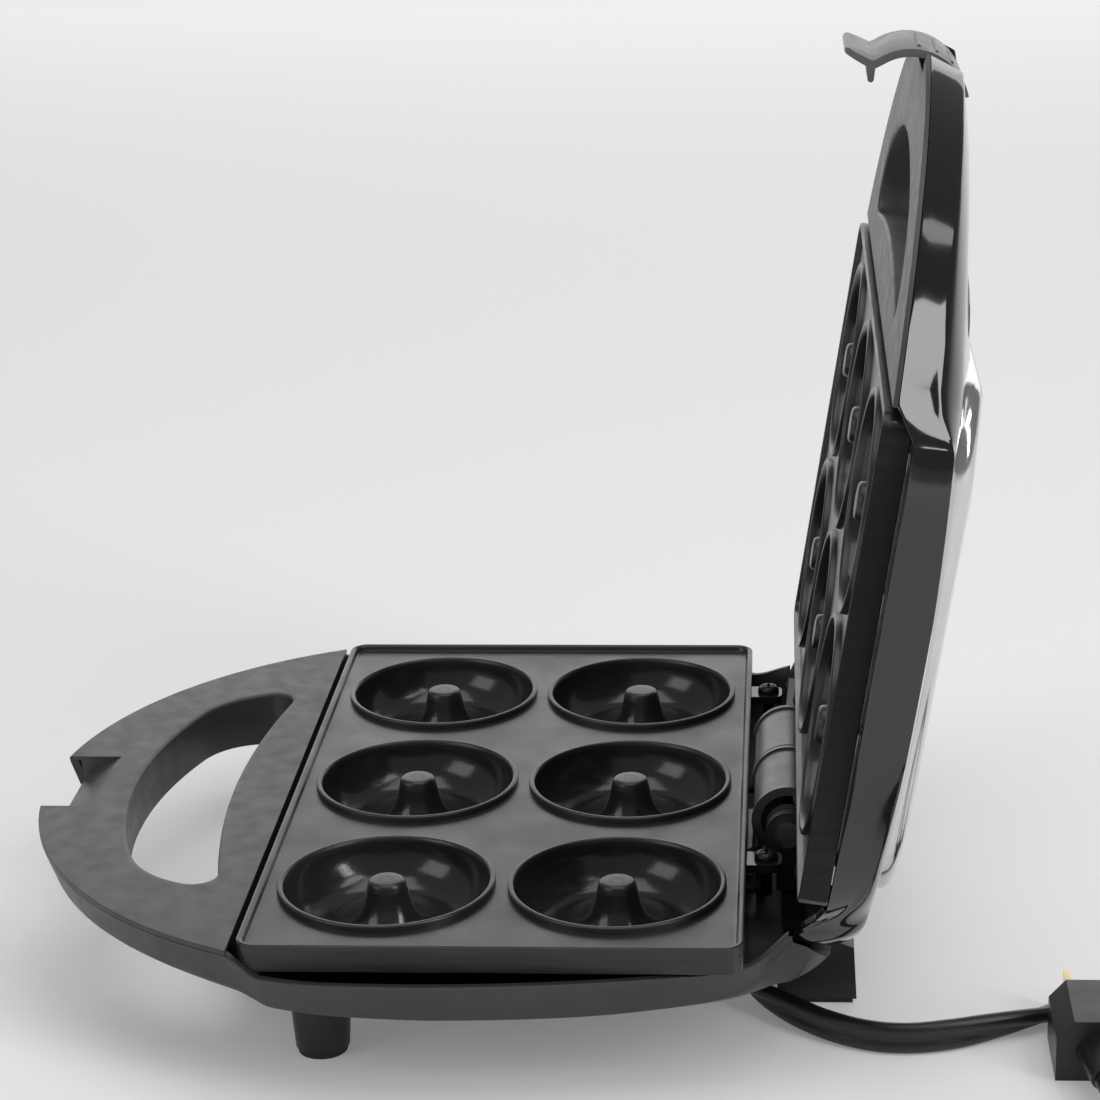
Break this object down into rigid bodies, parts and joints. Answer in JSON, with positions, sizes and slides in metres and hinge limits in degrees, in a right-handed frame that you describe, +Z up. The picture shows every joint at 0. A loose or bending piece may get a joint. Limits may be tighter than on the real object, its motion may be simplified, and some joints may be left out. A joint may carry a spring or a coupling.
{
  "type": "donut maker",
  "caption": "Hinged countertop donut maker: a base and a lid with ring-cavity heating plates, hand-hole handles, a front latch and a mains cord.",
  "frame": {"origin": "centre of the open appliance's bounding box, without its mains cord, on the floor under the feet", "axes": "+Z up, -Y towards the handles and the person using it, +X to that person's right"},
  "size_m": [0.2673, 0.4103, 0.2556],
  "materials": {
    "housing_matte": "fine satin texture",
    "deck_matte": "matte texture",
    "nonstick": "satin non-stick coating",
    "heater_steel": "heat-stained tube",
    "sheet_metal": "plain sheet",
    "black_screws": "black oxide",
    "ceramic": "ceramic",
    "wire_sleeve": "dark woven heat sleeve",
    "barrel_grey": "satin grey",
    "pin_steel": "plain steel",
    "foot_plastic": "matte",
    "foot_rubber": "matte",
    "zinc_screws": "zinc plated",
    "cord_vinyl": "satin vinyl",
    "plug_brass": "plain",
    "housing_gloss": "high gloss",
    "polished_steel": "polished",
    "red_lens": "clear tinted",
    "green_lens": "clear tinted",
    "circuit_board": "solder mask",
    "latch_plastic": "satin"
  },
  "bodies": {
    "base": {"base_shell": "housing_matte", "base_handle_cover": "deck_matte", "bottom_cover": "housing_matte", "lower_plate": "nonstick", "lower_element": "heater_steel", "lower_reflector": "sheet_metal", "lower_plate_screws": "black_screws", "thermostat": "ceramic", "terminal_block": "ceramic", "base_wiring": "wire_sleeve", "hinge_barrel_base": "barrel_grey", "hinge_ears_base": "housing_matte", "hinge_pins": "pin_steel", "front_feet": "foot_plastic", "rear_feet": "foot_plastic", "foot_pads": "foot_rubber", "housing_screws_base": "zinc_screws", "strain_relief": "cord_vinyl", "cord_lead": "cord_vinyl", "cord_coil": "cord_vinyl", "cord_tail": "cord_vinyl", "plug_body": "cord_vinyl", "plug_blades": "plug_brass"},
    "lid": {"lid_shell": "housing_gloss", "lid_handle_cover": "deck_matte", "upper_plate": "nonstick", "upper_element": "heater_steel", "upper_reflector": "sheet_metal", "upper_plate_screws": "black_screws", "thermal_fuse": "sheet_metal", "lid_wiring": "wire_sleeve", "hinge_barrel_lid": "barrel_grey", "hinge_ears_lid": "housing_matte", "lid_top_panel": "polished_steel", "power_lens": "red_lens", "ready_lens": "green_lens", "lamp_board": "circuit_board", "housing_screws_lid": "zinc_screws", "latch_pin": "pin_steel"},
    "latch": {"latch": "latch_plastic"}
  },
  "joints": [
    {"name": "lid_hinge", "type": "hinge", "parent": "base", "child": "lid", "pos_m": [0, 0.0797, 0.044], "axis": [1, 0, 0], "range_deg": [0, 99]},
    {"name": "latch_hinge", "type": "hinge", "parent": "lid", "child": "latch", "pos_m": [0, 0.12253, 0.24092], "axis": [-1, 0, 0], "range_deg": [0, 25]}
  ]
}
